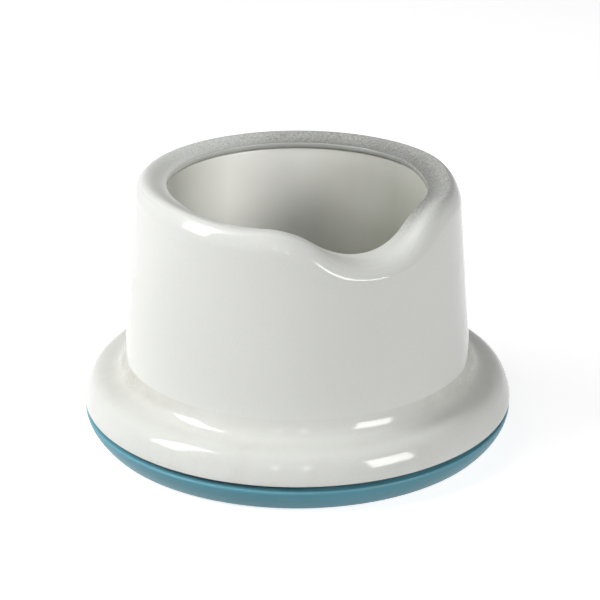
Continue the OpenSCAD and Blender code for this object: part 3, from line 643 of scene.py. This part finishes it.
def grown(name, mesh, tree, values):
    # runs a node tree on a mesh and returns the plain mesh that it makes
    holder = bpy.data.objects.new(name + "Source", mesh)
    bpy.context.scene.collection.objects.link(holder)
    modifier = holder.modifiers.new("grow", "NODES")
    modifier.node_group = tree
    for item in tree.interface.items_tree:
        if item.item_type == "SOCKET" and item.in_out == "INPUT" and item.name in values:
            modifier[item.identifier] = values[item.name]
    graph = bpy.context.evaluated_depsgraph_get()
    made = bpy.data.meshes.new_from_object(holder.evaluated_get(graph), depsgraph=graph,
                                           preserve_all_data_layers=True)
    bpy.data.objects.remove(holder)
    made.name = name
    made.materials.clear()
    made.materials.append(values["Material"])
    made.polygons.foreach_set("material_index", [0] * len(made.polygons))
    pointOutwards(made)
    return made


def creased(mesh, angle=creaseAngle):  # smooth faces, with crisp edges where they turn more
    mesh.shade_smooth()
    mesh.set_sharp_from_angle(angle=math.radians(angle))
    return mesh


def softened(mesh, width, sharpAngle=34.0, segments=2):
    # merges flat faces, rounds the sharp edges and shades the rest smooth
    work = bmesh.new()
    work.from_mesh(mesh)
    bmesh.ops.remove_doubles(work, verts=work.verts, dist=weldGap)
    bmesh.ops.dissolve_limit(work, angle_limit=math.radians(flatAngle), verts=work.verts,
                             edges=work.edges)
    least = math.radians(sharpAngle)
    sharp = [edge for edge in work.edges if edge.is_manifold and edge.calc_face_angle() > least]
    bmesh.ops.bevel(work, geom=sharp, offset=width * mm, segments=segments, profile=0.5,
                    affect="EDGES", clamp_overlap=True)
    bmesh.ops.recalc_face_normals(work, faces=work.faces)
    work.to_mesh(mesh)
    work.free()
    return creased(mesh)


def addPiece(name, mesh, nodeName):  # own piece for a node, on its body, with the node hidden
    piece = bpy.data.objects.new(name, mesh)
    bpy.context.scene.collection.objects.link(piece)
    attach(piece, bodyOf[nodeName])
    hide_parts(nodeName)
    return piece


def refined(nodeName, pieceName, width):  # own piece from a copy of a node, with its edges rounded
    mesh = frame["nodes"][nodeName].data.copy()
    mesh.name = pieceName
    softened(mesh, width)
    return addPiece(pieceName, mesh, nodeName)


def turned(name, points, steps=128):
    # turns an outline of (radius, height) round Z; its points on the axis become poles
    vertices, rows, faces = [], [], []
    turns = [2 * math.pi * k / steps for k in range(steps)]
    for r, z in points:
        if r < 1e-6:
            rows.append([len(vertices)] * steps)
            vertices.append((0, 0, z * mm))
        else:
            rows.append([len(vertices) + k for k in range(steps)])
            vertices += [(r * mm * math.cos(a), r * mm * math.sin(a), z * mm) for a in turns]
    onAxis = points[0][0] < 1e-6 and points[-1][0] < 1e-6
    pairs = list(zip(rows, rows[1:])) + ([] if onAxis else [(rows[-1], rows[0])])
    for low, high in pairs:
        for k in range(steps):
            n = (k + 1) % steps
            face = list(dict.fromkeys((low[k], low[n], high[n], high[k])))
            if len(face) > 2:
                faces.append(face)
    mesh = bpy.data.meshes.new(name)
    mesh.from_pydata(vertices, [], faces)
    pointOutwards(mesh)
    return creased(mesh)


def joined(name, *meshes):  # several meshes as one
    work = bmesh.new()
    for mesh in meshes:
        work.from_mesh(mesh)
    result = bpy.data.meshes.new(name)
    work.to_mesh(result)
    work.free()
    return creased(result)


def buildRingTree():
    # sets copies of one small part out round Z
    sizes = ("Ring Radius", "Height", "Start")
    tree, given = newTree("ringOfParts", "Part", "Count", sizes, "Ring")
    spots = linkNode(tree, "GeometryNodePoints")
    tree.links.new(given["Count"], spots.inputs["Count"])
    index = linkNode(tree, "GeometryNodeInputIndex").outputs[0]
    angle = plus(tree, given["Start"], times(tree, over(tree, index, given["Count"]), 2 * math.pi))
    tree.links.new(turnedPoint(tree, given["Ring Radius"], angle, given["Height"]),
                   spots.inputs["Position"])
    copies = linkNode(tree, "GeometryNodeInstanceOnPoints")
    tree.links.new(spots.outputs[0], copies.inputs["Points"])
    tree.links.new(given["Part"], copies.inputs["Instance"])
    tree.links.new(pointOf(tree, 0.0, 0.0, angle), copies.inputs["Rotation"])
    endTree(tree, copies.outputs[0], given["Material"])
    return tree


ringTree = buildRingTree()


def ringOf(name, part, count, radius, height, start, slot):  # sizes in mm, start in degrees
    return grown(name, part, ringTree, {
        "Count": count, "Ring Radius": radius * mm, "Height": height * mm,
        "Start": math.radians(start), "Material": materials[slot]})


skinSizes = {
    "Stations": housing["stations"], "Scoop Radius": housing["scoopRadius"] * mm,
    "Lean": math.tan(math.radians(housing["draft"])),
    "Material": materials["white_plastic"],
}
for line in scoopLines:
    fall, fallFrom, fallTo = housing[line.lower() + "Fall"]
    dip = [size * mm for size in housing[line.lower() + "Scoop"]]
    dip += [fall * mm, math.radians(fallFrom), math.radians(fallTo)]
    skinSizes.update({line + label: size for label, size in zip(dipSizes, dip)})
skinTree = buildSkinTree()
shellSection = sectionMesh("housingSection", housingSection(housing))
shellMesh = grown("outerHousingShell", shellSection, skinTree, skinSizes)
addPiece("outerHousingShell", shellMesh, "outer_housing")
print("outer housing:", len(shellMesh.polygons), "faces")


liner = {  # mm and degrees
    "topZ": 74.3, "topRadius": 38.93, "draft": 1.0, "wall": 1.6, "edgeRound": 0.35, "wallSteps": 12,
    "floorZ": 18.5, "underZ": 16.5, "fillet": 3.0, "padZ": 19.5, "padRadius": 10.0, "padRound": 0.2,
    "hole": 1.6, "sinkRadius": 3.2, "sinkDepth": 1.55,
    "skirtZ": 12.0, "skirtInset": 1.0, "taper": (0.6, 1.0),  # below and above the floor's underside
}


def linerSection(h):  # columns as in the housing's section; the fold's dip and the lean are used
    slope = math.tan(math.radians(h["draft"]))
    top, floorZ, fillet, rim = h["topZ"], h["floorZ"], h["fillet"], h["edgeRound"]

    def wellR(z):
        return h["topRadius"] - slope * (top - z)

    def wall(z, outwards):
        share = max(0.0, (z - floorZ - fillet) / (top - floorZ - fillet))
        return wellR(z) + outwards, z, share, 0, 0, -share

    floorR = wellR(floorZ)
    underZ, skirtR = h["underZ"], floorR - h["skirtInset"]
    below, above = h["taper"]
    under = [(h["hole"], underZ + h["sinkDepth"]), (h["sinkRadius"], underZ),
             (skirtR - h["wall"], underZ), (skirtR - h["wall"], h["skirtZ"]), (skirtR, h["skirtZ"]),
             (skirtR, underZ - below), (floorR + h["wall"], underZ + above)]
    points = [(*p, *still) for p in under]
    low = floorZ + fillet
    heights = [low + (top - rim - low) * i / h["wallSteps"] for i in range(h["wallSteps"] + 1)]
    points += [wall(z, h["wall"]) for z in heights]
    rimArcs = arc(wellR(top) + h["wall"] - rim, top - rim, rim, 30, 90, 2)
    rimArcs += arc(wellR(top) + rim, top - rim, rim, 90, 150, 2)
    points += [(*p, 1, 0, 0, -1) for p in rimArcs]
    points += [wall(z, 0) for z in reversed(heights)]
    middle = wellR(low) - fillet
    points += [(*p, *still) for p in arc(middle, low, fillet, -9, -90, 9)]
    padR, padZ, rounding = h["padRadius"], h["padZ"], h["padRound"]
    pad = [(padR, floorZ), (padR, padZ - rounding), (padR - rounding, padZ), (h["hole"], padZ)]
    return points + [(*p, *still) for p in pad]


linerSizes = dict(skinSizes)
linerSizes.update({"Fold" + label: skinSizes["Edge" + label] for label in dipSizes})
linerSizes["Lean"] = math.tan(math.radians(liner["draft"]))
linerSizes["Material"] = materials["grey_plastic"]
innerSection = sectionMesh("linerSection", linerSection(liner))
linerMesh = creased(grown("wellLinerShell", innerSection, skinTree, linerSizes))
addPiece("wellLinerShell", linerMesh, "well_liner")
print("well liner:", len(linerMesh.polygons), "faces")


base = {  # mm and degrees
    "footRadius": 6.0, "footHeight": 1.8, "footRound": 0.35,
    "footRing": 51.05, "footCount": 4, "footStart": 45,
    "ballRadius": 2.0, "ballRing": 36.0, "ballHeight": 6.75, "ballCount": 12,
    "edge": 0.2,  # round on the edges of the dish, the deck, the turntable, the tray and the post
}


def footOutline(h):
    rounding = h["footRound"]
    return ([(0, 0)] + arc(h["footRadius"] - rounding, rounding, rounding, -90, 0, 4)
            + [(h["footRadius"], h["footHeight"]), (0, h["footHeight"])])


def ballOutline(h):  # its two ends lie exactly on the axis
    outline = arc(0, 0, h["ballRadius"], -90, 90, 16)
    return [(0, -h["ballRadius"])] + outline[1:-1] + [(0, h["ballRadius"])]


footMesh = ringOf("rubberFeetRing", turned("foot", footOutline(base), 48), base["footCount"],
                  base["footRing"], 0, base["footStart"], "foot_rubber")
addPiece("rubberFeetRing", footMesh, "rubber_feet")
ballMesh = ringOf("bearingBallsRing", turned("ball", ballOutline(base), 32), base["ballCount"],
                  base["ballRing"], base["ballHeight"], 0, "ball_steel")
addPiece("bearingBallsRing", ballMesh, "bearing_balls")
for nodeName, pieceName in (("base_dish", "baseDishBody"), ("deck_plate", "deckPlateBody"),
                            ("rack_turntable", "rackTurntableBody"), ("rack_tray", "rackTrayBody"),
                            ("tray_rim", "trayRimRing"), ("rack_post", "rackPostPin")):
    piece = refined(nodeName, pieceName, base["edge"])
    print(pieceName + ":", len(piece.data.polygons), "faces")


divider = {  # mm and degrees
    "count": 8, "start": 22.5, "baseZ": 25.5, "collarInner": 9.2, "collarOuter": 10.6,
    "reach": 34.9, "height": 12.0, "outerHeight": 6.0, "shoulder": 14.6, "thick": 1.3,
    "outerRound": 2.0, "edge": 0.3,
    "rootDepth": 0.4, "rootLift": 0.05, "rootGap": 0.1, "rootDrop": 0.2,  # a blade in the collar
}


def bladeMesh(h):
    corner = h["outerRound"]
    root = h["collarOuter"] - h["rootDepth"]
    outline = [(root, h["rootLift"]), (h["reach"], 0.0)]
    outline += arc(h["reach"] - corner, h["outerHeight"] - corner, corner, 0, 73, 6)
    outline += [(h["shoulder"], h["height"]), (h["collarOuter"] + h["rootGap"], h["height"]),
                (root, h["height"] - h["rootDrop"])]
    work = bmesh.new()
    corners = [work.verts.new((r * mm, -h["thick"] / 2 * mm, z * mm)) for r, z in outline]
    side = work.faces.new(corners)
    grownSide = bmesh.ops.extrude_face_region(work, geom=[side])["geom"]
    bmesh.ops.translate(work, verts=[v for v in grownSide if isinstance(v, bmesh.types.BMVert)],
                        vec=(0, h["thick"] * mm, 0))
    mesh = bpy.data.meshes.new("blade")
    work.to_mesh(mesh)
    work.free()
    return softened(mesh, h["edge"], 40, 3)


def collarOutline(h):
    low, top, rounding = h["baseZ"], h["baseZ"] + h["height"], h["edge"]
    return ([(h["collarInner"], low), (h["collarOuter"], low)]
            + arc(h["collarOuter"] - rounding, top - rounding, rounding, 0, 90, 3)
            + arc(h["collarInner"] + rounding, top - rounding, rounding, 90, 180, 3))


blades = ringOf("dividerBlades", bladeMesh(divider), divider["count"], 0, divider["baseZ"],
                divider["start"], "divider_plastic")
collar = turned("dividerCollar", collarOutline(divider), 96)
starMesh = joined("pocketDividerStar", blades, collar)
addPiece("pocketDividerStar", starMesh, "pocket_divider")
print("pocket divider:", len(starMesh.polygons), "faces")


knob = {  # mm and degrees
    "baseZ": 39.85, "radius": 7.5, "height": 6.0, "chamfer": 1.5, "round": 1.5, "dimple": 0.6,
    "spigotRadius": 3.0, "spigotDepth": 2.0, "flutes": 16, "fluteRing": 8.0, "fluteRadius": 0.9,
    "creaseAngle": 42,
}


def buildFluteTree():
    # presses upright flutes into the side of a turned knob
    tree, given = newTree("knobFlutes", "Knob", "Flutes", ("Flute Ring", "Flute Radius"), "Fluted")
    x, y, z = partsOf(tree, linkNode(tree, "GeometryNodeInputPosition").outputs[0])
    radius = radiusOf(tree, x, y)
    turn = times(tree, over(tree, calc(tree, "ARCTAN2", y, x), 2 * math.pi), given["Flutes"])
    away = calc(tree, "ABSOLUTE", minus(tree, turn, calc(tree, "ROUND", turn)))
    off = over(tree, times(tree, away, 2 * math.pi), given["Flutes"])
    across = times(tree, given["Flute Ring"], calc(tree, "SINE", off))
    inside = minus(tree, times(tree, given["Flute Radius"], given["Flute Radius"]),
                   times(tree, across, across))
    deep = minus(tree, times(tree, given["Flute Ring"], calc(tree, "COSINE", off)),
                 calc(tree, "SQRT", calc(tree, "MAXIMUM", inside, 0.0)))
    limit = plus(tree, deep, calc(tree, "LESS_THAN", inside, 0.0))  # no limit beside a flute
    scale = over(tree, calc(tree, "MINIMUM", radius, limit),
                 calc(tree, "MAXIMUM", radius, weldGap))
    move = linkNode(tree, "GeometryNodeSetPosition")
    tree.links.new(given["Knob"], move.inputs["Geometry"])
    tree.links.new(pointOf(tree, times(tree, x, scale), times(tree, y, scale), z),
                   move.inputs["Position"])
    endTree(tree, move.outputs[0], given["Material"])
    return tree


def knobOutline(h):
    low, top, side = h["baseZ"], h["baseZ"] + h["height"], h["radius"]
    end = low - h["spigotDepth"]
    outline = [(0, end), (h["spigotRadius"], end), (h["spigotRadius"], low),
               (side - h["chamfer"], low)]
    outline += arc(side - h["chamfer"], low + h["chamfer"], h["chamfer"], -75, 0, 4)
    outline += arc(side - h["round"], top - h["round"], h["round"], 0, 90, 7)
    flat = side - h["round"]
    outline += [(flat * k, top - h["dimple"] * (1 - k * k)) for k in (0.9, 0.75, 0.6, 0.4, 0.2, 0)]
    return outline


knobMesh = grown("gripKnobFluted", turned("knob", knobOutline(knob), 192), buildFluteTree(), {
    "Flutes": knob["flutes"], "Flute Ring": knob["fluteRing"] * mm,
    "Flute Radius": knob["fluteRadius"] * mm, "Material": materials["teal_plastic"]})
creased(knobMesh, knob["creaseAngle"])
addPiece("gripKnobFluted", knobMesh, "grip_knob")
print("grip knob:", len(knobMesh.polygons), "faces")


stage = {  # mm and degrees
    "azimuth": -28.0, "elevation": 22.23, "distance": 528.0, "aimHeight": 38.5, "aimRight": 0.79,
    "lens": 104.8, "fill": 0.0, "floorColor": (0.6, 0.6, 0.6), "floorGlow": 0.8, "floorDrop": 0.05,
    "floorSize": 4.0, "lampTarget": (0, 0, 0.04),  # these two in metres
}


def around(azimuth, elevation, distance):  # azimuth 0 is towards -Y, the scoop's side
    a, e = math.radians(azimuth), math.radians(elevation)
    way = Vector((math.sin(a) * math.cos(e), -math.cos(a) * math.cos(e), math.sin(e)))
    return way * distance * mm


def aim(thing, target):
    thing.rotation_euler = (Vector(target) - thing.location).to_track_quat("-Z", "Y").to_euler()


def setCamera(values):
    data = bpy.data.cameras.new("camera")
    data.sensor_width = 36.0
    data.lens = values["lens"]
    data.clip_start = 0.01
    data.clip_end = 50.0
    camera = bpy.data.objects.new("camera", data)
    bpy.context.scene.collection.objects.link(camera)
    turn = math.radians(values["azimuth"])
    right = Vector((math.cos(turn), math.sin(turn), 0))
    target = Vector((0, 0, values["aimHeight"] * mm))
    camera.location = target + around(values["azimuth"], values["elevation"], values["distance"])
    aim(camera, target + right * values["aimRight"] * mm)
    bpy.context.scene.camera = camera


def addLamp(name, data, target, azimuth, elevation, distance, glossy):
    lamp = bpy.data.objects.new(name, data)
    lamp.visible_glossy = glossy
    bpy.context.scene.collection.objects.link(lamp)
    lamp.location = target + around(azimuth, elevation, distance)
    aim(lamp, target)


def addSoftBox(name, azimuth, elevation, distance, width, height, power, glossy):
    data = bpy.data.lights.new(name, "AREA")
    data.shape = "RECTANGLE"
    data.size = width * mm
    data.size_y = height * mm
    data.energy = power
    addLamp(name, data, Vector(stage["lampTarget"]), azimuth, elevation, distance, glossy)


def addSpot(name, azimuth, elevation, distance, target, power, angle, size):
    data = bpy.data.lights.new(name, "SPOT")
    data.energy = power
    data.spot_size = math.radians(angle)
    data.spot_blend = 1.0
    data.shadow_soft_size = size * mm
    addLamp(name, data, Vector(target) * mm, azimuth, elevation, distance, False)


def seenDirectly(tree):  # 1 for the rays that show the background itself
    path = linkNode(tree, "ShaderNodeLightPath").outputs
    return calc(tree, "MAXIMUM", path["Is Camera Ray"],
                calc(tree, "MAXIMUM", path["Is Glossy Ray"], path["Is Transmission Ray"]))


def setWorld(fill):  # white where it is seen itself, and a fill of its own strength elsewhere
    world = bpy.data.worlds.new("studio")
    bpy.context.scene.world = world
    world.use_nodes = True
    tree = world.node_tree
    tree.nodes.clear()
    mix = linkNode(tree, "ShaderNodeMixShader")
    tree.links.new(seenDirectly(tree), mix.inputs[0])
    for strength, socket in ((fill, mix.inputs[1]), (1.0, mix.inputs[2])):
        glow = linkNode(tree, "ShaderNodeBackground")
        glow.inputs["Color"].default_value = (1, 1, 1, 1)
        glow.inputs["Strength"].default_value = strength
        tree.links.new(glow.outputs[0], socket)
    out = linkNode(tree, "ShaderNodeOutputWorld")
    tree.links.new(mix.outputs[0], out.inputs["Surface"])


def addFloor(values):
    mesh = bpy.data.meshes.new("floor")
    size = values["floorSize"]
    low = -values["floorDrop"] * mm  # just below the feet
    corners = [(-size, -size, low), (size, -size, low), (size, size, low), (-size, size, low)]
    mesh.from_pydata(corners, [], [(0, 1, 2, 3)])
    floor = bpy.data.objects.new("floor", mesh)
    bpy.context.scene.collection.objects.link(floor)
    material, tree, shader = newMaterial("paleFloor", values["floorColor"], 0.9)[:3]
    shader.inputs["Specular IOR Level"].default_value = 0.0
    shader.inputs["Emission Color"].default_value = (1, 1, 1, 1)
    tree.links.new(times(tree, seenDirectly(tree), values["floorGlow"]),
                   shader.inputs["Emission Strength"])
    mesh.materials.append(material)


lights = {  # azimuth from -Y, elevation, distance, width, height (mm), power (W), seen in gloss
    "leftSoftBox": (-101, 37, 900, 280, 600, 4.24, True),
    "rightSoftBox": (19.5, 17, 900, 360, 320, 3.55, True),
    "leftPane": (-39, 22, 900, 60, 240, 0.15, True),
    "rightPane": (-24, 22, 900, 60, 240, 0.15, True),
    "leftWash": (-100, 34, 900, 500, 460, 1.48, False),
    "farLeftWash": (-130, 34, 900, 500, 460, 1.95, False),
    "leftTop": (-100, 62, 900, 600, 500, 0.87, False),
    "frontLow": (-40, 10, 900, 500, 300, 0.35, False),
}
wellLamp = {
    "azimuth": 8, "elevation": 48, "distance": 600, "target": (-6, 37, 60),
    "power": 8.0, "angle": 5.2, "size": 12,
}
setCamera(stage)
for name, values in lights.items():
    addSoftBox(name, *values)
addSpot("wellSpot", **wellLamp)
setWorld(stage["fill"])
addFloor(stage)
bpy.context.scene.view_settings.view_transform = "Standard"
print("stage set")
